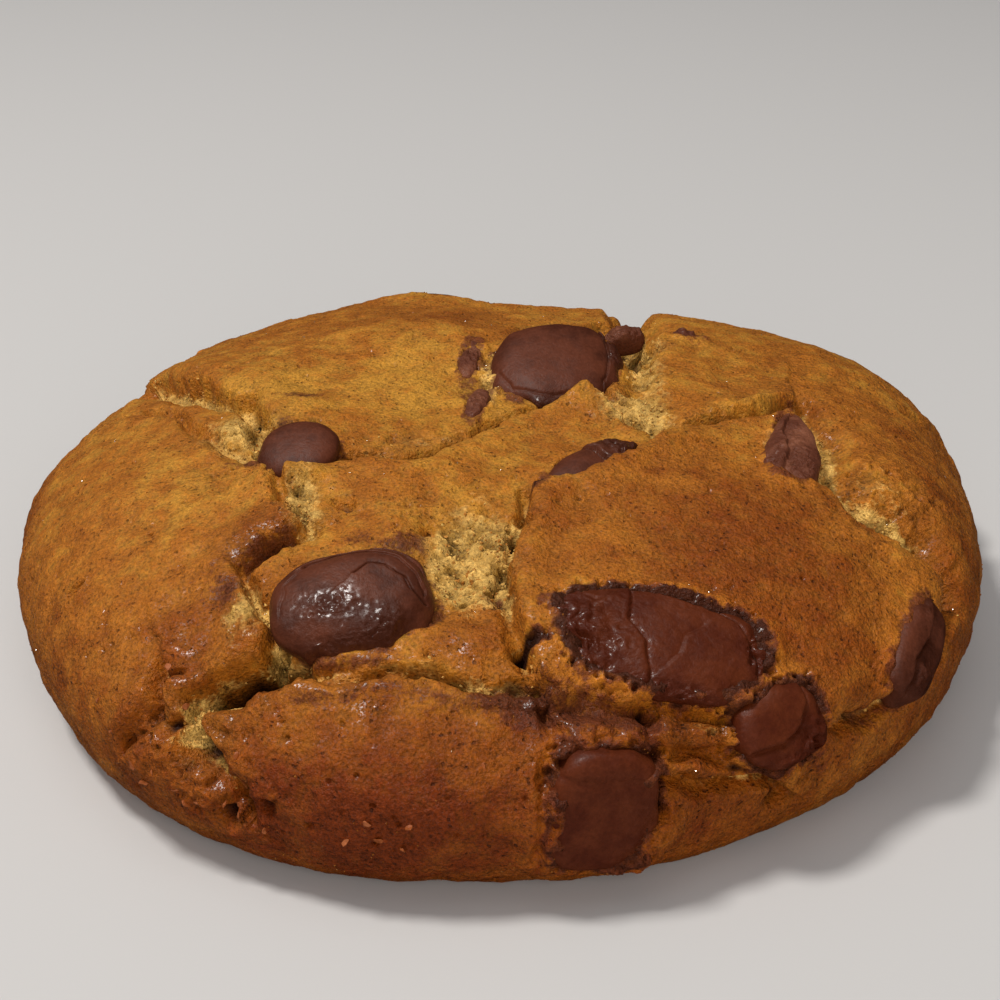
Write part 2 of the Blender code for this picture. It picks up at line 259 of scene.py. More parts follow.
# Where the pale crumb shows, and where the crust is toasted darker, broken up, strewn with flakes or smeared
# with chocolate
BARE_CRUMB = (
    Patch((-3, -28), (4.0, 7.5), 1.1),
    Patch((-17.8, -20), (2.2, 5), 1.0),
    Patch((-22, -33), (2.0, 3.5), 0.8),
    Patch((-26, -5), (4.5, 4.0), 1.0, -35),
    Patch((-9, -7), (10, 3.0), 0.45, 20),
    Patch((-0.6, 8), (1.6, 7), 1.0),
    Patch((13.5, -1.5), (4.5, 3.2), 1.2, -35),
    Patch((14.5, 8), (2.2, 6), 0.9),
    Patch((17, 16), (1.8, 4), 0.5),
    Patch((-7, -42.4), (9, 0.8), 0.55, -9),
    Patch((34.5, -16.0), (4, 1.1), 0.6, -28),
    Patch((39.8, -17.6), (1.8, 1.4), 0.8),
    Patch((38, -12.5), (4.5, 5), 0.45),
    Patch((-28.0, -44), (1.6, 3.5), 0.7),
    Patch((18.5, -46.6), (3, 0.9), 0.4),
    Patch((22.5, -3.6), (5.5, 1.1), 1.0, 30),
    Patch((27.2, -9.0), (0.9, 4.5), 0.7, -10),
)
TOASTED = (
    Patch((21, -24), (13, 12), 1.0),
    Patch((18, -33), (10, 4), 0.5),
    Patch((30, -36), (7, 6), 0.9),
    Patch((46, -12), (6, 16), 0.7),
    Patch((-28, -36), (10, 9), 0.7),
    Patch((-21, -23.5), (4.5, 2.6), 0.9, 25),
    Patch((-10, -54), (20, 9), 1.35),
    Patch((12, -47.5), (12, 3), 0.6),
    Patch((24, -54), (14, 7), 0.3),
    Patch((-2, -38), (5, 3), 0.7),
    Patch((-8, 26), (14, 6), 0.5),
    Patch((34, 8), (9, 9), 0.3),
    Patch((23, -1.5), (5, 2), -0.6, 30),
    Patch((4.5, -23), (2.4, 5), 0.5),
    Patch((-14, 13), (3.5, 2), 0.4, 20),
    Patch((5, 22), (9, 2.5), 0.7),
    Patch((-10, 8), (14, 9), -0.5),
    Patch((-26, 2), (5, 8), -0.3),
)
CRAGGY = (
    Patch((-30, -42), (6, 5), 1.0),
    Patch((-25, -50), (7, 4), 0.9),
    Patch((38.0, -13.5), (4.5, 6.5), 1.3, 10),
    Patch((23, -1.0), (6, 1.6), 0.7, 32),
    Patch((16, -47.5), (8, 2.2), 0.6),
    Patch((32, -49), (5, 4), 0.6),
    Patch((-10, -42.5), (9, 1.2), 0.5, -8),
)
FLAKED = (
    Patch((-30, -39), (3, 3), 1.0),
    Patch((-34.5, -42), (3, 4), 1.0),
    Patch((-26, -50.5), (6, 3), 1.0),
    Patch((-8, -57), (9, 3), 0.3),
)
SMEARS = (
    Patch((-20.6, 1.4), (2.4, 1.3), 0.7),
    Patch((-20.6, -26.0), (4.6, 1.1), 0.9, 24),
    Patch((-24.6, -31.0), (2.8, 1.6), 0.7),
    Patch((-8.5, -27), (1.9, 2.2), 0.85),
    Patch((-12.6, -26.4), (1.6, 1.5), 0.5),
    Patch((1.5, -45.4), (6.0, 1.8), 0.72, -6),
    Patch((-15.5, -43.4), (4.0, 0.9), 0.8, -8),
    Patch((-7, -45.2), (6, 1.2), 0.4, -8),
    Patch((-0.5, -34), (2.0, 1.2), 0.6),
    Patch((10, -46.8), (8, 2.0), 0.6),
    Patch((9.4, -55), (6.0, 7.0), 0.45),
    Patch((-13.5, -40.4), (6.0, 0.7), 0.7, -8),
    Patch((29.5, -46.5), (3.6, 2.0), 0.5),
    Patch((31.0, 1.8), (2.2, 1.6), 0.8),
    Patch((3.5, -19.4), (1.5, 0.8), 1.1),
    Patch((-2.9, 7), (1.2, 7), 0.8),
    Patch((-24.4, -11.8), (2.4, 1.1), 0.8),
    Patch((-21.9, -4.8), (0.8, 2.6), 0.7),
    Patch((37, -40), (4, 1.4), 0.8, 40),
    Patch((14.6, 19), (1.6, 3), 0.7),
    Patch((20.4, 17.6), (2, 2), 0.7),
)

DISC_POWER = 2.6
CHUNK_POWER = 3.2

CHIPS = (
    Chip(
        "disc_front_right",
        (13.3, -39.4),
        (20.2, 10.4, 4.2),
        -2,
        (0, 0),
        DISC_POWER,
        1.0,
        marks=(
            Crack(((-2.0, 5.0), (-2.1, 2.9), (-2.3, 1.3), (-0.9, -0.9), (-0.5, -4.9)), 0.14, 0.3, -0.4, 1.6),
            Crack(
                ((1.0, 4.6), (2.9, 3.9), (5.4, 3.1), (7.4, 2.2), (8.6, -0.1), (8.9, -2.3)),
                0.14,
                0.3,
                -0.35,
                1.2,
            ),
            Crack(((4.0, 1.4), (2.4, 0.2), (1.9, -1.6), (0.7, -3.0)), 0.14, 0.14, 0.16, 1.2),
        ),
        rough=(
            Patch((-6.2, -0.8), (3.4, 3.8), 1.1),
            Patch((9.2, 0), (1.1, 3.8), 1.0),
            Patch((2, -4.9), (7, 0.8), 0.9),
        ),
    ),
    Chip(
        "disc_front_left",
        (-12.9, -34.5),
        (14.5, 11.0, 6.2),
        10,
        (6, 0),
        2.35,
        0.15,
        marks=(
            Crack(
                ((0.7, 1.5), (2.0, 2.5), (3.5, 1.9), (4.9, 0.5), (5.3, -0.8), (6.2, -2.0)),
                0.12,
                0.6,
                -0.45,
                1.1,
            ),
            Crack(
                ((6.3, -1.2), (5.9, 1.0), (4.4, 3.2), (2.2, 4.3), (-0.6, 4.6), (-3.6, 3.9)),
                0.1,
                0.25,
                -0.22,
                0.5,
            ),
            Crack(((6.8, -0.6), (6.4, 1.6), (4.9, 3.8), (2.6, 4.9)), 0.1, 0.2, -0.2, 0.4),
            Crack(((-3.6, 3.9), (-5.4, 2.2), (-6.1, -0.4)), 0.1, 0.12, -0.12, 0.5),
        ),
        rough=(
            Patch((-2.0, -1.6), (3.8, 2.4), 0.75),
            Patch((3.0, -3.9), (1.8, 1.4), 1.1),
            Patch((-2.5, -5.0), (5.0, 0.9), 0.9),
        ),
    ),
    Chip(
        "disc_back",
        (5.8, 10.0),
        (13.8, 13.4, 6.0),
        8,
        (14, 0),
        DISC_POWER,
        0.1,
        marks=(
            Crack(((5.2, 5.9), (5.9, 2.9), (5.7, -1.1), (4.6, -4.2)), 0.12, 0.45, 0.4, 0.8),
            Crack(((-6.2, -1.0), (-5.0, -3.9), (-2, -5.6), (1.5, -5.7)), 0.12, 0.14, 0.12, 0.5),
        ),
        rough=(Patch((6.5, 0.5), (0.9, 4.5), 1.2), Patch((-1.5, -6.0), (4.5, 0.7), 0.8)),
    ),
    Chip(
        "chunk_front_flank",
        (9.4, -54.8),
        (9.6, 11.4, 4.4),
        -6,
        (0, 0),
        4.0,
        0.7,
        raised=-0.2,
        marks=(Crack(((-4, 3.4), (-1, 3.1), (2, 3.4)), 0.4, 0.15, 0.2, 1.5),),
        rough=(Patch((3.5, -1.5), (2.0, 4.5), 0.4),),
    ),
    Chip(
        "chunk_front_right",
        (25.4, -44.9),
        (8.8, 7.0, 4.2),
        20,
        (0, 0),
        CHUNK_POWER,
        0.8,
        marks=(Crack(((-3.8, -1.2), (-1, -1.4), (1.2, -0.4), (2.4, 1.0), (2.9, 2.8)), 0.16, 0.4, 0.4, 1.2),),
        rough=(Patch((2.5, -1.8), (2.2, 2.0), 0.9), Patch((-1, -2.8), (4, 0.8), 0.7)),
    ),
    Chip(
        "chunk_right_flank",
        (39.9, -32.2),
        (11.4, 5.6, 4.4),
        56,
        (0, 0),
        CHUNK_POWER,
        0.3,
        raised=0.4,
        marks=(Crack(((-5, -0.3), (-2, 0.5), (1.0, 0.1), (5, 0.8)), 0.2, 0.5, 0.5, 1.0),),
        rough=(Patch((-2.5, -0.8), (3.0, 1.6), 1.0), Patch((3.5, 1.0), (2.0, 1.6), 0.7)),
    ),
    Chip(
        "disc_left",
        (-19.7, -9.9),
        (7.8, 7.6, 3.8),
        -14,
        (16, -6),
        DISC_POWER,
        0.1,
        raised=0.1,
        rough=(Patch((-3.9, -1.6), (1.2, 2.4), 0.6),),
    ),
    Chip(
        "disc_middle",
        (8.9, -13.8),
        (10.6, 5.8, 4.2),
        42,
        (10, 0),
        DISC_POWER,
        0.1,
        raised=-0.1,
        marks=(Crack(((0.4, 2.8), (1.2, 1.0), (0.7, -0.8), (1.4, -2.8)), 0.16, 0.7, 0.5, 1.0),),
        rough=(Patch((3.6, 0), (2.3, 2.8), 1.3),),
    ),
    Chip(
        "chunk_right",
        (28.9, -8.8),
        (12.8, 5.0, 4.8),
        80,
        (0, -12),
        CHUNK_POWER,
        0.1,
        raised=0.1,
        taper=0.5,
        marks=(Crack(((-6.0, 0.8), (-2.5, 0.1), (1.5, 0.9), (6.0, 0.3)), 0.2, 0.2, 0.5, 2.0),),
        rough=(Patch((-4.5, -0.4), (2.4, 2.6), 1.3), Patch((2.0, 0.5), (4.4, 2.4), 0.8)),
    ),
    Chip(
        "bit_notch_left",
        (14.0, 21.0),
        (4.6, 3.0, 3.0),
        15,
        (12, 0),
        CHUNK_POWER,
        0.3,
        rough=(Patch((0, 0), (4, 4), 1.3),),
    ),
    Chip(
        "bit_notch_right",
        (19.4, 18.2),
        (3.4, 2.6, 2.8),
        -40,
        (10, 0),
        CHUNK_POWER,
        0.3,
        raised=-0.3,
        rough=(Patch((0, 0), (4, 4), 1.3),),
    ),
    Chip(
        "sliver_back",
        (-3.4, 11.6),
        (8.4, 2.4, 2.8),
        84,
        (0, 0),
        CHUNK_POWER,
        0.2,
        raised=-0.25,
        rough=(Patch((0, 0), (5, 5), 0.9),),
    ),
    Chip(
        "sliver_ridge",
        (-2.5, 2.0),
        (6.6, 2.4, 2.8),
        78,
        (0, 0),
        CHUNK_POWER,
        0.2,
        raised=-0.25,
        rough=(Patch((0, 0), (5, 5), 0.9),),
    ),
    Chip("disc_rear", (-8.0, 46.0), (13.6, 11.0, 5.2), -10, (0, 0), DISC_POWER, 0.3),
    Chip("chunk_rear_flank", (16.0, 53.0), (9.0, 7.6, 4.4), 10, (0, 0), CHUNK_POWER, 0.8),
    Chip("disc_rear_left", (-38.0, 37.0), (10.6, 8.8, 4.6), 40, (0, 0), DISC_POWER, 0.6),
    Chip("chunk_left_flank", (-56.0, 18.0), (8.2, 6.2, 4.2), 75, (0, 0), CHUNK_POWER, 0.8),
    Chip("disc_rear_right", (41.0, 36.0), (10.4, 8.6, 4.6), -35, (0, 0), DISC_POWER, 0.3),
)


# Noise: a block of random heights, read by position with a smooth blend between them
NOISE_CELLS = 32
NOISE_HEIGHTS = np.random.default_rng(11).uniform(-1.0, 1.0, NOISE_CELLS**3)


def noise_height(x, y, z):
    """The random height that belongs to a corner of the block."""
    return NOISE_HEIGHTS[((x % NOISE_CELLS) * NOISE_CELLS + y % NOISE_CELLS) * NOISE_CELLS + z % NOISE_CELLS]


def noise(points, size):
    """Smooth noise from -1 to 1 at each of the points, with bumps about size mm wide."""
    scaled = (points / size).T
    x, y, z = cell = np.floor(scaled).astype(np.int32)
    part = scaled - cell
    part_x, part_y, part_z = part * part * (3 - 2 * part)

    def along_z(shift_x, shift_y):
        low = noise_height(x + shift_x, y + shift_y, z)
        return low + part_z * (noise_height(x + shift_x, y + shift_y, z + 1) - low)

    left = along_z(0, 0) * (1 - part_y) + along_z(0, 1) * part_y
    right = along_z(1, 0) * (1 - part_y) + along_z(1, 1) * part_y
    return left + part_x * (right - left)


def layers(points, sizes_and_heights):
    """Noise of several sizes, added up."""
    return sum(height * noise(points, size) for size, height in sizes_and_heights)


def pores(points, size, radius):
    """Round holes at random, one to each cube of size mm: 1 at a hole's middle and 0 past its radius."""
    scaled = (points / size).T
    cell = np.floor(scaled).astype(np.int32)
    side = np.where(scaled - cell < 0.5, -1, 1)
    depth = np.zeros(len(points))
    for corner in np.ndindex(2, 2, 2):
        near = cell + side * np.array(corner)[:, None]
        distance = np.zeros(len(points))
        for axis, shift in enumerate((0, 7, 13)):
            middle = near[axis] + 0.5 + 0.45 * noise_height(*(near + shift))
            distance += (scaled[axis] - middle) ** 2
        depth = np.maximum(depth, 1 - distance * (size / radius) ** 2)
    return depth


def profile():
    """The half section over the top and down to the foot: reach over the crust, radius and height."""
    steps = 400
    share = np.sin(np.linspace(0, math.pi / 2, steps))
    turn = np.linspace(0, math.pi / 2, steps // 4)[1:]
    dip = DIP_DEPTH * np.exp(-((share * RADIUS / DIP_RADIUS) ** 2))
    top = SHOULDER + (HEIGHT - SHOULDER) * np.sqrt(np.clip(1 - share**DOME_POWER, 0, 1)) - dip
    radius = np.append(share * RADIUS, RADIUS - FOOT_INSET * (1 - np.cos(turn)))
    height = np.append(top, SHOULDER * (1 - np.sin(turn)))
    reach = np.append(0, np.cumsum(np.hypot(np.diff(radius), np.diff(height))))
    return reach, radius, height


PROFILE = profile()
CRUST_REACH = PROFILE[0][-1]


def plan_scale(angle):
    """How far the plan reaches in a direction, over its mean radius."""
    swell = sum(c * np.cos(k * angle) + s * np.sin(k * angle) for k, (c, s) in enumerate(PLAN_LOBES, 1))
    return 1 + swell / RADIUS


def crust(places):
    """The smooth crust, without its relief, at places on the crust map."""
    reach = np.hypot(*places.T)
    angle = np.arctan2(places[:, 1], places[:, 0])
    radius = np.interp(reach, PROFILE[0], PROFILE[1]) * plan_scale(angle)
    height = np.interp(reach, PROFILE[0], PROFILE[2])
    return np.stack([radius * np.cos(angle), radius * np.sin(angle), height], axis=1)


def crust_normal(places):
    """The outward direction of the smooth crust."""
    near = 0.3
    along_u = crust(places + (near, 0)) - crust(places - (near, 0))
    along_v = crust(places + (0, near)) - crust(places - (0, near))
    normal = np.cross(along_u, along_v)
    return normal / np.linalg.norm(normal, axis=1, keepdims=True)


def distance_to(path, places):
    """How far each place is from a path, with a plus to the left of it and a minus to the right."""
    nearest = np.full(len(places), np.inf)
    signed = np.zeros(len(places))
    for start, end in zip(np.array(path[:-1], float), np.array(path[1:], float)):
        run = end - start
        offset = places - start
        share = np.clip(offset @ run / (run @ run), 0, 1)
        distance = np.linalg.norm(offset - share[:, None] * run, axis=1)
        side = np.sign(run[0] * offset[:, 1] - run[1] * offset[:, 0])
        closer = distance < nearest
        nearest = np.where(closer, distance, nearest)
        signed = np.where(closer, side * distance, signed)
    return signed


def patch_field(patches, places):
    """The sum of the patches at each place."""
    total = np.zeros(len(places))
    for patch in patches:
        turn = math.radians(patch.turn)
        offset = places - patch.place
        along = offset @ (math.cos(turn), math.sin(turn)) / patch.half_size[0]
        across = offset @ (-math.sin(turn), math.cos(turn)) / patch.half_size[1]
        total += patch.amount * np.exp(-(along**2 + across**2))
    return total


# Noise is given as its size and its height, both in mm
TORN_EDGE = ((4.0, 0.8), (1.4, 0.35), (0.7, 0.18), (0.4, 0.08))
UNEVEN_CRUST = ((13.0, 0.45), (5.0, 0.22))
CRACK_EDGE = 0.16
CRACK_LIP = 0.2
FOOT_FADE = 9.0


def ragged(places, points):
    """The places, pulled this way and that, so that an edge drawn through them is torn and not smooth."""
    return places + np.stack([layers(points, TORN_EDGE), layers(points + 50, TORN_EDGE)], axis=1)


def relief(places, torn, points):
    """How far the crust stands out from its smooth form at each place.

    A crack is a groove under the edge of the higher side, with that edge a little proud.
    """
    total = layers(points, UNEVEN_CRUST)
    total += patch_field(SWELLS, torn) - patch_field(HOLLOWS, torn)
    uneven = 1 + 0.35 * noise(points + 70, 3.5)
    for crack in CRACKS:
        signed = distance_to(crack.path, torn)
        distance = np.abs(signed)
        width = crack.width * uneven
        groove = np.abs(signed + 0.8 * np.sign(crack.step) * width) / width
        total -= crack.depth * np.exp(-(groove**2.4))
        total += 0.5 * crack.step * np.tanh(signed / CRACK_EDGE) * np.exp(-distance / crack.spread)
        total += CRACK_LIP * np.exp(-((distance / width - 2.0) ** 2))
    to_foot = CRUST_REACH - np.hypot(*places.T)
    return total * np.clip(to_foot / FOOT_FADE, 0, 1)


def chip_matrix(chip):
    """Where the chip lies: flat on the crust, then turned and tipped, its middle where the node has it."""
    place = np.array([chip.place], float)
    normal = Vector(crust_normal(place)[0])
    across = normal.cross(Vector((1, 0, 0))).normalized()
    flat = Matrix((across.cross(normal), across, normal)).transposed().to_4x4()
    lean = Euler((math.radians(chip.lean[0]), math.radians(chip.lean[1]), 0)).to_matrix().to_4x4()
    turn = Matrix.Rotation(math.radians(chip.turn), 4, "Z")
    low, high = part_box(chip.name)
    middle = (Vector(low) + Vector(high)) / 2 / MM + Vector(MIDDLE) + chip.raised * normal
    return Matrix.Translation(middle) @ flat @ lean @ turn


def chip_distance(chip, points):
    """About how far outside the chip each point lies, with a minus inside it."""
    inverse = np.array(chip_matrix(chip).inverted())
    half = np.array(chip.size) / 2
    local = points @ inverse[:3, :3].T + inverse[:3, 3]
    size = np.sum(np.abs(local / half) ** chip.power, axis=1) ** (1 / chip.power)
    return (size - 1) * half[:2].mean()


CRUST_GRAIN = ((2.4, 0.12), (1.2, 0.10), (0.6, 0.06))
WRINKLE_DEPTH = 0.08
PIT_DEPTH = 0.5
CRUMB_HOLE_DEPTH = 0.9


def fine_relief(open_parts, points):
    """The small forms of the surface: grain, wrinkles and pores on the crust, crags where it is open."""
    uneven = points + 0.25 * np.stack([noise(points + 80, 0.9), noise(points + 90, 0.9)] * 2, axis=1)[:, :3]
    grain = layers(points, CRUST_GRAIN)
    wrinkle = -WRINKLE_DEPTH * (1 - np.abs(noise(points + 9, 3.1))) ** 5
    crags = 0.42 * noise(points, 2.1) + 0.40 * noise(points + 20, 1.1) + 0.32 * noise(points + 60, 0.55)
    holes = pores(uneven, 1.5, 0.6) * np.clip(0.5 + noise(points, 3.0), 0, 1)
    pits = pores(uneven + 31, 1.5, 0.36) * np.clip(3 * noise(points + 5, 2.7), 0, 1)
    crust_relief = grain + wrinkle - PIT_DEPTH * pits
    return crust_relief + np.clip(open_parts, 0, 1) * (crags - CRUMB_HOLE_DEPTH * holes)


# The rim round a chip, and how much more of it what melted has
RIM_HEIGHT = 0.3
MELTED_RIM_HEIGHT = 0.3
RIM_WIDTH = 0.8
MELTED_RIM_WIDTH = 0.5
BROKEN_EDGE = 0.4
DEPTH_UNDER_CHIP = 1.2
BUBBLE_DEPTH = 0.9


def lap_of(chip):
    """How far the broken crust laps over the chip's edge."""
    return 0.5 + 0.35 * chip.melted


def chip_rims(points, distances):
    """The crust at the chips: it lies under them, and its broken edge laps over theirs here and there.

    Round what melted it rises to the same height and is pitted by the bubbles that came up through it.
    """
    total = np.zeros(len(points))
    broken = noise(points + 13, 2.0) + 0.6 * noise(points + 17, 0.9)
    shaky = 0.4 * noise(points + 6, 3.0) + 0.35 * noise(points, 1.5) + 0.2 * noise(points, 0.7)
    bubbles = pores(points + 3, 0.8, 0.36) + 0.8 * pores(points + 33, 1.3, 0.5)
    bubbles = bubbles * np.clip(0.8 + 1.6 * noise(points + 25, 2.2), 0, 1)
    for chip, distance in zip(CHIPS, distances):
        near = distance + shaky
        away = np.clip(near, 0, None)
        inside = np.clip(-near, 0, None)
        lap = lap_of(chip)
        height = RIM_HEIGHT + MELTED_RIM_HEIGHT * chip.melted
        width = RIM_WIDTH + MELTED_RIM_WIDTH * chip.melted
        total += height * np.exp(-((away / width) ** 2) - (inside / lap) ** 2)
        total += BROKEN_EDGE * broken * np.exp(-(((near - 0.2) / 0.8) ** 2))
        total -= DEPTH_UNDER_CHIP * np.clip(inside - lap - 0.1, 0, 1)
        total -= chip.melted * BUBBLE_DEPTH * bubbles * np.exp(-(((near - 0.3) / 0.9) ** 2))
    return total


def chip_stain(points, distances):
    """How much chocolate the crust took up from the chips beside it."""
    total = np.zeros(len(points))
    spread = 0.5 * noise(points, 2.6) + 0.5 * noise(points + 8, 1.0) + 0.3 * noise(points + 4, 0.5)
    for chip, distance in zip(CHIPS, distances):
        reach = 0.35 + 0.35 * chip.melted
        away = np.clip(distance + spread, 0, None)
        total = np.maximum(total, (0.6 + 0.5 * chip.melted) * np.exp(-((away / reach) ** 2)))
    return total


FINE_FADE = 3.0
CRUMB_FROM = 1.0


def cookie_surface(directions):
    """Lays the points of a ball over the cookie: its lower part is the flat underside.

    It also gives the fields that the crust's colour follows.
    """
    fall = np.arccos(np.clip(directions[:, 2], -1, 1)) / math.pi
    angle = np.arctan2(directions[:, 1], directions[:, 0])
    heading = np.stack([np.cos(angle), np.sin(angle)], axis=1)
    foot = 1 - UNDERSIDE_SHARE
    reach = CRUST_REACH * np.minimum(fall / foot, 1)
    places = heading * reach[:, None]
    smooth = crust(places)
    normal = crust_normal(places)
    torn = ragged(places, smooth)
    sunk = -relief(places, torn, smooth)
    points = smooth - normal * sunk[:, None]
    above = np.clip((CRUST_REACH - reach) / FINE_FADE, 0, 1)
    distances = [chip_distance(chip, points) for chip in CHIPS]
    hollow = patch_field(HOLLOWS, torn)
    deep = np.clip((sunk - CRUMB_FROM) / 1.2, 0, 1)
    bare = patch_field(BARE_CRUMB, torn) + 0.8 * deep - 0.5 * hollow
    crumb = np.clip(bare, 0, 1.2) * above
    flaked = patch_field(FLAKED, torn)
    open_parts = crumb + patch_field(CRAGGY, torn)
    fine = above * (fine_relief(open_parts, points) + chip_rims(points, distances))
    clear = np.clip((CRUST_REACH - reach) / FINE_FADE - 0.3, 0, 1)
    fields = {
        "crumb": crumb,
        "toast": patch_field(TOASTED, torn),
        "smear": np.maximum(patch_field(SMEARS, torn), chip_stain(points, distances)),
        "lift": fine,
        "hollow": hollow,
        "sunk": sunk,
        "reach": fall / foot,
        "crumbs": clear * np.clip(crumb - 0.35, 0, 1),
        "flakes": clear * flaked,
        "sugar": clear * np.clip(0.3 + noise(points + 40, 6.0) + 0.4 * crumb - hollow, 0, 1),
    }
    points = points + normal * (fine - 0.1 * above)[:, None]
    below = fall > foot
    inward = ((1 - fall[below]) / UNDERSIDE_SHARE)[:, None]
    foot_radius = (RADIUS - FOOT_INSET) * plan_scale(angle[below])[:, None]
    points[below, :2] = heading[below] * foot_radius * inward
    points[:, :2] *= DRAWN_IN
    points[:, 2] = np.where(below, 0.0, np.maximum(points[:, 2], 0.0))
    return points, fields


def new_object(name, mesh):
    obj = bpy.data.objects.new(name, mesh)
    bpy.context.scene.collection.objects.link(obj)
    return obj


def applied(obj):
    """The object's mesh with its modifiers applied; the modifiers go."""
    graph = bpy.context.evaluated_depsgraph_get()
    mesh = bpy.data.meshes.new_from_object(obj.evaluated_get(graph))
    obj.modifiers.clear()
    old = obj.data
    obj.data = mesh
    bpy.data.meshes.remove(old)
    return mesh


def ball_mesh(name, subdivisions, shape):
    """A ball with its points moved by shape, which returns them in mm, with fields to store."""
    mesh = bpy.data.meshes.new(name)
    body = bmesh.new()
    bmesh.ops.create_icosphere(body, subdivisions=subdivisions, radius=1.0)
    body.to_mesh(mesh)
    body.free()
    directions = np.empty(len(mesh.vertices) * 3, np.float32)
    mesh.vertices.foreach_get("co", directions)
    points, fields = shape(directions.reshape(-1, 3).astype(float))
    points = (points - MIDDLE) * MM
    mesh.vertices.foreach_set("co", points.astype(np.float32).ravel())
    for field, values in fields.items():
        stored = mesh.attributes.new(field, "FLOAT", "POINT")
        stored.data.foreach_set("value", values.astype(np.float32))
    mesh.shade_smooth()
    mesh.update()
    return mesh


dough = new_object("baked_dough", ball_mesh("baked_dough", DOUGH_SUBDIVISIONS, cookie_surface))
fewer = dough.modifiers.new("Fewer faces", "DECIMATE")
fewer.ratio = min(1.0, DOUGH_TRIANGLES / len(dough.data.polygons))
applied(dough)


def srgb(red, green, blue):
    """The linear colour of a colour given in the usual 0 to 255."""
    shares = (red / 255, green / 255, blue / 255)
    return tuple(s / 12.92 if s < 0.0405 else ((s + 0.055) / 1.055) ** 2.4 for s in shares)


class Value:
    """A number that varies over a surface. Sums, differences and products of it add their Math nodes."""

    def __init__(self, finish, socket):
        self.finish = finish
        self.socket = socket

    def math(self, operation, first, second):
        return self.finish.node("ShaderNodeMath", {"operation": operation}, {0: first, 1: second})

    def __add__(self, other):
        return self.math("ADD", self, other)

    def __radd__(self, other):
        return self.math("ADD", other, self)

    def __sub__(self, other):
        return self.math("SUBTRACT", self, other)

    def __rsub__(self, other):
        return self.math("SUBTRACT", other, self)

    def __mul__(self, other):
        return self.math("MULTIPLY", self, other)

    def __rmul__(self, other):
        return self.math("MULTIPLY", other, self)

    def most(self, other):
        return self.math("MAXIMUM", self, other)

    def between(self, low, high):
        """0 up to low and 1 from high, with a smooth rise between them."""
        inputs = {"Value": self, "From Min": low, "From Max": high}
        return self.finish.node("ShaderNodeMapRange", {"interpolation_type": "SMOOTHSTEP"}, inputs)


class Finish:
    """A material in the making, on one Principled shader."""

    def __init__(self, name, **constants):
        self.material = bpy.data.materials.new(name)
        self.material.use_nodes = True
        self.tree = self.material.node_tree
        self.shader = self.tree.nodes["Principled BSDF"]
        for socket, value in constants.items():
            self.shader.inputs[socket.replace("_", " ")].default_value = value

    def put(self, socket, value):
        if isinstance(value, Value):
            self.tree.links.new(value.socket, socket)
        elif isinstance(value, tuple) and len(value) == 3 and socket.type == "RGBA":
            socket.default_value = (*value, 1.0)
        else:
            socket.default_value = value

    def node(self, kind, settings, inputs, output=0):
        """Any node: its settings are set before its sockets."""
        made = self.tree.nodes.new(kind)
        for setting, value in settings.items():
            setattr(made, setting, value)
        for socket, value in inputs.items():
            self.put(made.inputs[socket], value)
        return Value(self, made.outputs[output])

    def field(self, name):
        """A field that is stored on the mesh."""
        return self.node("ShaderNodeAttribute", {"attribute_name": name}, {}, "Fac")

    def place(self):
        return self.node("ShaderNodeTexCoord", {}, {}, "Object")

    def mottle(self, size, detail=3.0, roughness=0.6):
        """Noise from 0 to 1 with blotches about size mm wide."""
        inputs = {"Vector": self.place(), "Scale": 1 / (size * MM), "Detail": detail, "Roughness": roughness}
        return self.node("ShaderNodeTexNoise", {}, inputs, "Fac")

    def grains(self, size, output="Distance"):
        """Cells about size mm wide."""
        inputs = {"Vector": self.place(), "Scale": 1 / (size * MM)}
        return self.node("ShaderNodeTexVoronoi", {}, inputs, output)

    def mix(self, share, first, second):
        """A blend of two colours."""
        inputs = {0: share, 6: first, 7: second}
        return self.node("ShaderNodeMix", {"data_type": "RGBA"}, inputs, 2)

    def scaled(self, colour, amount):
        """A colour made lighter or darker."""
        return self.node("ShaderNodeVectorMath", {"operation": "SCALE"}, {0: colour, "Scale": amount})

    def bump(self, height, depth):
        """Fine relief: height goes from 0 to 1 over depth mm."""
        return self.node("ShaderNodeBump", {}, {"Height": height, "Distance": depth * MM, "Strength": 1.0})

    def surface(self, **sockets):
        for socket, value in sockets.items():
            self.put(self.shader.inputs[socket.replace("_", " ")], value)
        return self.material


GOLDEN = srgb(188, 131, 42)
TAN = srgb(164, 96, 22)
BROWN = srgb(138, 70, 8)
DEEP_BROWN = srgb(110, 43, 3)
PALE_CRUMB = srgb(216, 172, 92)
# A duller crumb colour, also used as painted shade in the crumb's low parts
DULL_AND_SHADED_CRUMB = srgb(162, 120, 50)
SMEARED_CHOCOLATE = srgb(88, 40, 20)
STAINED_CHOCOLATE = srgb(52, 21, 9)
# Painted shade inside the pores
PAINTED_PORE_SHADE = srgb(80, 34, 8)
# Painted shade inside the hollows
PAINTED_HOLLOW_SHADE = srgb(40, 14, 3)


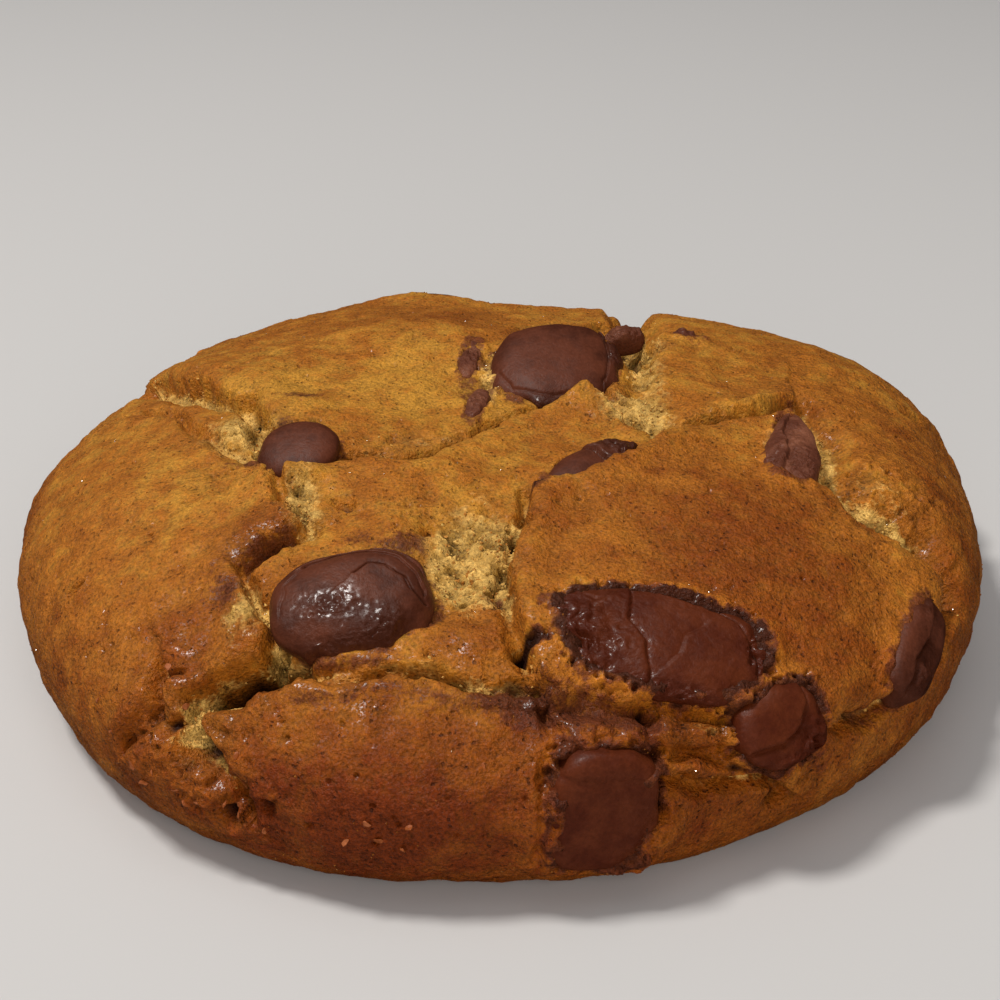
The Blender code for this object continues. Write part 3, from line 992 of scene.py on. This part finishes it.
def crust_finish():
    """Baked crust: golden where thin, browner and glossier where it swelled, pale and open where it tore."""
    finish = Finish("baked_crust", Specular_IOR_Level=0.25, Coat_Roughness=0.3)
    blotches = finish.mottle(9.0, 2.0)
    patches = finish.mottle(2.6, 3.0)
    speckle = finish.mottle(0.8, 3.0, 0.7)
    grain = finish.mottle(0.28, 2.0)
    lift = finish.field("lift")
    # Browner and deeper orange towards the foot: partly the browning of the baked edge, partly painted warm
    # light bounced up onto the low flanks
    foot_browning_and_painted_bounce = finish.field("reach").between(0.64, 0.9)
    toast = finish.field("toast") + 0.9 * foot_browning_and_painted_bounce + 1.6 * (blotches - 0.5) + 2.0 * (patches - 0.5)
    toast = toast + 1.1 * (speckle - 0.5) + 0.3 * (grain - 0.5)
    colour = finish.mix(toast.between(-0.7, 0.35), GOLDEN, TAN)
    colour = finish.mix(toast.between(0.25, 1.15), colour, BROWN)
    colour = finish.mix(toast.between(0.95, 2.0), colour, DEEP_BROWN)
    crumb = (finish.field("crumb") + 1.2 * (speckle - 0.5) + 1.0 * (patches - 0.5)).between(0.3, 0.9)
    # The bare crumb varies at random from pale to dull, and goes duller in the low parts of its fine relief
    # as painted shade
    bare = finish.mix((finish.mottle(1.6) - 0.3 * lift).between(0.38, 0.72), PALE_CRUMB, DULL_AND_SHADED_CRUMB)
    colour = finish.mix(crumb, colour, bare)
    smear = (finish.field("smear") + 1.5 * (speckle - 0.5) + 1.0 * (patches - 0.5)).between(0.25, 0.8)
    colour = finish.mix(0.85 * smear, colour, SMEARED_CHOCOLATE)
    soaked = finish.field("smear") + 0.6 * (speckle - 0.5)
    colour = finish.mix(0.9 * soaked.between(0.8, 1.05), colour, STAINED_CHOCOLATE)
    cells = finish.grains(0.7) + 0.5 * (grain - 0.5)
    open_cells = finish.grains(0.7, "Color").between(0.45, 0.55) * patches.between(0.40, 0.55)
    holes = (1 - cells.between(0.08, 0.26)) * open_cells
    pitted = 0.2 + 0.5 * toast.between(0.2, 1.2)
    # Painted shade: the pores of the bump are darkened for the shade inside them, more where the crust is
    # toasted
    colour = finish.mix(pitted * holes, colour, PAINTED_PORE_SHADE)
    # Random tone from grain and speckle, with painted light and shade: raised parts of the fine relief
    # lighter, its pits darker, and the crust darker where it sits deep in the cracks
    shade = 0.98 + 1.8 * (grain - 0.5) + 1.2 * (speckle - 0.5) + 0.6 * lift
    colour = finish.scaled(colour, shade - 0.25 * finish.field("sunk").between(1.6, 3.6))
    # Painted shade: the hollows are darkened almost to black for the shade inside them
    colour = finish.mix(finish.field("hollow").between(0.7, 1.7), colour, PAINTED_HOLLOW_SHADE)
    height = 0.17 * grain + (0.36 + 0.2 * toast.between(0.0, 1.2)) * speckle - 0.24 * holes
    glossy = (0.25 + 0.75 * toast.between(-0.2, 1.0)).most(0.5 * smear)
    fat = glossy * finish.mottle(0.2, 2.0).between(0.48, 0.6) * speckle.between(0.42, 0.56) * (1 - crumb)
    dullness = 0.66 - 0.2 * fat
    texture = finish.bump(height, 1.0)
    return finish.surface(Base_Color=colour, Roughness=dullness, Coat_Weight=fat, Normal=texture)


dough.data.materials.append(crust_finish())
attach(dough, "root")
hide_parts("dough")

# Crumbs and flakes broken from the crust as it split: small irregular bits of baked dough lying in the
# cracks and on the flank, stuck where they fell. Among them are sugar grains, unmelted on the baked surface.


@dataclass
class Grains:
    """Small bits scattered over the dough, where a field of it says.

    density is how many lie on a square metre where the field is 1; sizes and their form's wobble are in mm.
    """

    name: str
    field: str
    density: float
    smallest: tuple
    largest: tuple
    seed: int
    wobble: float = 0.0
    wobble_size: float = 0.5


def scatter_tree(grains, material):
    """The tree and the values of its named inputs."""
    tree = bpy.data.node_groups.new(grains.name, "GeometryNodeTree")
    tree.interface.new_socket("Dough", in_out="INPUT", socket_type="NodeSocketGeometry")
    values = {
        "Density": ("NodeSocketFloat", grains.density),
        "Smallest": ("NodeSocketVector", [size * MM for size in grains.smallest]),
        "Largest": ("NodeSocketVector", [size * MM for size in grains.largest]),
        "Wobble": ("NodeSocketFloat", grains.wobble * MM),
        "Wobble scale": ("NodeSocketFloat", 1 / (grains.wobble_size * MM)),
        "Seed": ("NodeSocketInt", grains.seed),
    }
    settings = {}
    for label, (kind, value) in values.items():
        socket = tree.interface.new_socket(label, in_out="INPUT", socket_type=kind)
        settings[socket.identifier] = value
    tree.interface.new_socket("Grains", in_out="OUTPUT", socket_type="NodeSocketGeometry")

    def add(kind, settings=None, **inputs):
        made = tree.nodes.new(kind)
        for setting, value in (settings or {}).items():
            setattr(made, setting, value)
        for label, value in inputs.items():
            socket = made.inputs[label.replace("_", " ")]
            if isinstance(value, bpy.types.NodeSocket):
                tree.links.new(value, socket)
            else:
                socket.default_value = value
        return made

    given = tree.nodes.new("NodeGroupInput").outputs
    field = add("GeometryNodeInputNamedAttribute", {"data_type": "FLOAT"}, Name=grains.field)
    density = add("ShaderNodeMath", {"operation": "MULTIPLY"})
    tree.links.new(given["Density"], density.inputs[0])
    tree.links.new(field.outputs["Attribute"], density.inputs[1])
    spots = add(
        "GeometryNodeDistributePointsOnFaces",
        Mesh=given["Dough"],
        Density=density.outputs[0],
        Seed=given["Seed"],
    )
    ball = add("GeometryNodeMeshIcoSphere", Radius=0.5, Subdivisions=1)
    size = add(
        "FunctionNodeRandomValue",
        {"data_type": "FLOAT_VECTOR"},
        Min=given["Smallest"],
        Max=given["Largest"],
        Seed=given["Seed"],
    )
    turn = add("FunctionNodeRandomValue", {"data_type": "FLOAT_VECTOR"}, Max=(math.tau,) * 3)
    placed = add(
        "GeometryNodeInstanceOnPoints",
        Points=spots.outputs["Points"],
        Instance=ball.outputs["Mesh"],
        Rotation=turn.outputs[0],
        Scale=size.outputs[0],
    )
    real = add("GeometryNodeRealizeInstances", Geometry=placed.outputs["Instances"])
    uneven = add("ShaderNodeTexNoise", Scale=given["Wobble scale"], Detail=1.0)
    centred = add("ShaderNodeVectorMath", {"operation": "SUBTRACT"})
    tree.links.new(uneven.outputs["Color"], centred.inputs[0])
    centred.inputs[1].default_value = (0.5, 0.5, 0.5)
    pull = add("ShaderNodeVectorMath", {"operation": "SCALE"}, Scale=given["Wobble"])
    tree.links.new(centred.outputs[0], pull.inputs[0])
    broken = add("GeometryNodeSetPosition", Geometry=real.outputs["Geometry"], Offset=pull.outputs[0])
    finished = add("GeometryNodeSetMaterial", Geometry=broken.outputs["Geometry"], Material=material)
    out = tree.nodes.new("NodeGroupOutput")
    tree.links.new(finished.outputs["Geometry"], out.inputs["Grains"])
    return tree, settings


def scatter(grains, material):
    piece = new_object(grains.name, dough.data.copy())
    modifier = piece.modifiers.new("Scatter", "NODES")
    modifier.node_group, settings = scatter_tree(grains, material)
    for identifier, value in settings.items():
        modifier[identifier] = value
    applied(piece)
    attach(piece, "root")


def crumb_finish():
    """Dry baked dough, the paler the further in it was."""
    finish = Finish("crumb_bits", Roughness=0.7, Specular_IOR_Level=0.3)
    colour = finish.mix(finish.mottle(2.5, 1.0).between(0.42, 0.62), PALE_CRUMB, srgb(184, 122, 50))
    colour = finish.scaled(colour, 0.55 + 0.8 * finish.mottle(0.4))
    return finish.surface(Base_Color=colour, Normal=finish.bump(finish.mottle(0.2), 0.08))


def flake_finish():
    """Thin dry flakes of crust, a little lighter than what they lie on."""
    finish = Finish("crust_flakes", Roughness=0.55, Specular_IOR_Level=0.4)
    colour = finish.mix(finish.mottle(1.5).between(0.4, 0.6), srgb(164, 92, 50), srgb(146, 74, 28))
    colour = finish.scaled(colour, 0.6 + 0.8 * finish.mottle(0.3))
    return finish.surface(Base_Color=colour, Normal=finish.bump(finish.mottle(0.25), 0.1))


def sugar_finish():
    """Sugar grains, stained by the crust round them and glossy."""
    finish = Finish("sugar_grains", Specular_IOR_Level=1.0)
    colour = finish.mix(finish.mottle(3.0, 1.0).between(0.35, 0.65), srgb(156, 98, 42), srgb(120, 64, 22))
    return finish.surface(Base_Color=colour, Roughness=0.06 + 0.2 * finish.mottle(1.0))


CRUMBS = Grains("crumb_bits", "crumbs", 2.2e6, (0.12,) * 3, (0.45,) * 3, 5, 0.5, 0.3)
SUGAR = Grains("sugar_grains", "sugar", 5e5, (0.06,) * 3, (0.26,) * 3, 8)
FLAKES = Grains("crust_flakes", "flakes", 1.4e5, (0.5, 0.5, 0.15), (1.5, 1.1, 0.35), 3, 0.7, 0.7)
scatter(CRUMBS, crumb_finish())
scatter(SUGAR, sugar_finish())
scatter(FLAKES, flake_finish())

# The chocolate: thick poured discs and broken chunks, pressed into the dough before baking. Those on top
# kept their shape and a satin skin; those low on the front softened, spread and set again.

CHIP_SUBDIVISIONS = 6
LARGE_CHIP = 12.0
LARGE_CHIP_SUBDIVISIONS = 7
SMOOTH_SKIN = ((2.4, 0.05), (0.9, 0.03))
MARK_EDGE = 0.12
WET_FROM = 0.5


def chip_mesh(chip):
    half = np.array(chip.size) / 2

    def shape(directions):
        power = 0.5 * (chip.power + 2.0)
        around = np.sum(np.abs(directions[:, :2]) ** power, axis=1) ** (1 / power)
        rounding = (around**chip.power + np.abs(directions[:, 2]) ** chip.power) ** (-1 / chip.power)
        form = directions * rounding[:, None] * half
        apart = form + chip.place[0]
        across = form[:, :2]
        rough = np.clip(patch_field(chip.rough, across), 0, 1) + 0.35 * chip.melted
        form[:, 1] *= 1 - chip.taper * form[:, 0] / half[0]
        form[:, :2] *= (1 + 0.07 * noise(apart, 4.5) + (0.04 + 0.08 * rough) * noise(apart, 1.7))[:, None]
        top = np.clip(directions[:, 2] * 2.5, 0, 1)
        torn = across + 0.15 * np.stack([noise(apart, 0.9), noise(apart + 50, 0.9)], axis=1)
        height = layers(apart, SMOOTH_SKIN)
        lumps = 0.30 * noise(apart + 3, 1.5) + 0.14 * noise(apart, 0.7) + 0.14 * noise(apart + 9, 0.33)
        height += rough**2 * (lumps - 0.3 * pores(apart, 1.2, 0.4))
        for mark in chip.marks:
            signed = distance_to(mark.path, torn)
            distance = np.abs(signed)
            height -= mark.depth * np.exp(-((distance / mark.width) ** 2))
            height += 0.5 * mark.step * np.tanh(signed / MARK_EDGE) * np.exp(-distance / mark.spread)
        form[:, 2] += top * height
        lie = np.array(chip_matrix(chip))
        return form @ lie[:3, :3].T + lie[:3, 3], {"rough": rough}

    large = chip.size[0] > LARGE_CHIP
    return ball_mesh(chip.name, LARGE_CHIP_SUBDIVISIONS if large else CHIP_SUBDIVISIONS, shape)


DARK_CHOCOLATE = srgb(92, 46, 28)
DEEP_CHOCOLATE = srgb(68, 30, 15)
RED_CHOCOLATE = srgb(90, 38, 14)
DEEP_RED_CHOCOLATE = srgb(74, 26, 7)
DUSTED_CHOCOLATE = srgb(132, 80, 56)
SHADED_CHOCOLATE = srgb(96, 50, 32)
BROKEN_PIECES = ("bit_notch_left", "bit_notch_right", "sliver_back", "sliver_ridge", "chunk_right")


def chocolate_finish(name, light, dark, bump_depth, wetness):
    """Chocolate: satin where it kept its skin, redder where it melted, dusty where it broke up."""
    finish = Finish(name, Specular_IOR_Level=0.25, Coat_Roughness=0.26)
    cloud = finish.mottle(3.2)
    fine = finish.mottle(0.35, 3.0, 0.7)
    rough = finish.field("rough")
    colour = finish.mix((cloud + 0.2 * rough).between(0.4, 0.75), light, dark)
    colour = finish.scaled(colour, 0.55 + 0.9 * fine)
    dullness = 0.52 + 0.2 * (cloud - 0.5) + 0.2 * (fine - 0.5)
    fat = wetness * rough.between(0.1, 0.6) * fine.between(0.42, 0.58)
    skin = finish.bump((0.3 + rough) * fine, bump_depth)
    return finish.surface(Base_Color=colour, Roughness=dullness, Coat_Weight=fat, Normal=skin)


SATIN = chocolate_finish("chocolate_satin", DARK_CHOCOLATE, DEEP_CHOCOLATE, 0.18, 0.9)
MELTED = chocolate_finish("chocolate_melted", RED_CHOCOLATE, DEEP_RED_CHOCOLATE, 0.12, 0.6)
DUSTY = chocolate_finish("chocolate_dusty", DUSTED_CHOCOLATE, SHADED_CHOCOLATE, 0.22, 0.1)

for chip in CHIPS:
    piece = new_object("chocolate_" + chip.name, chip_mesh(chip))
    skin = DUSTY if chip.name in BROKEN_PIECES else MELTED if chip.melted > WET_FROM else SATIN
    piece.data.materials.append(skin)
    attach(piece, "root")
    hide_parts(chip.name)

# The floor, the lights and the camera: a pale table top under soft lights, the strongest from above and a
# little to the left, seen from the front at the photograph's angle.

FLOOR_SIZE = 3.0
CAMERA_DISTANCE = 200.0
CAMERA_ANGLE = 31.0
AIM = (-0.1, 0.0, 13.3)
SENSOR = 36.0
FOCAL_SHARE = 1.845


def make_floor():
    mesh = bpy.data.meshes.new("floor")
    body = bmesh.new()
    bmesh.ops.create_grid(body, x_segments=1, y_segments=1, size=FLOOR_SIZE / 2)
    body.to_mesh(mesh)
    body.free()
    floor = new_object("floor", mesh)
    finish = Finish("pale_floor", Roughness=0.85)
    mesh.materials.append(finish.surface(Base_Color=(0.58, 0.57, 0.56)))
    floor.visible_glossy = False


def make_light(name, location, size, power, colour, mirrored=True):
    lamp = bpy.data.lights.new(name, "AREA")
    lamp.shape = "DISK"
    lamp.size = size
    lamp.energy = power
    lamp.color = colour
    obj = new_object(name, lamp)
    obj.location = location
    obj.rotation_euler = (Vector((0, 0, 0.01)) - obj.location).to_track_quat("-Z", "Y").to_euler()
    obj.visible_glossy = mirrored


def make_camera():
    lens = bpy.data.cameras.new("camera")
    lens.sensor_width = SENSOR
    lens.lens = FOCAL_SHARE * SENSOR
    obj = new_object("camera", lens)
    rise = math.radians(CAMERA_ANGLE)
    shift = -Vector(MIDDLE)
    obj.location = (shift + CAMERA_DISTANCE * Vector((0, -math.cos(rise), math.sin(rise)))) * MM
    aim = (shift + Vector(AIM)) * MM
    obj.rotation_euler = (aim - obj.location).to_track_quat("-Z", "Y").to_euler()
    bpy.context.scene.camera = obj


make_floor()
make_light("key_light", (-0.31, -0.02, 0.75), 0.16, 4.4, (1.0, 0.97, 0.93))
make_light("soft_light", (-0.05, -0.1, 0.9), 0.7, 0.8, (1.0, 0.98, 0.96), mirrored=False)
make_light("fill_light", (0.1, -0.8, 0.35), 0.8, 4.0, (1.0, 0.97, 0.94), mirrored=False)
make_camera()

world = bpy.data.worlds.new("soft_daylight")
world.use_nodes = True
world.node_tree.nodes["Background"].inputs["Color"].default_value = (0.80, 0.80, 0.82, 1.0)
world.node_tree.nodes["Background"].inputs["Strength"].default_value = 0.28
bpy.context.scene.world = world
world.cycles_visibility.glossy = False
bpy.context.scene.view_settings.view_transform = "Standard"
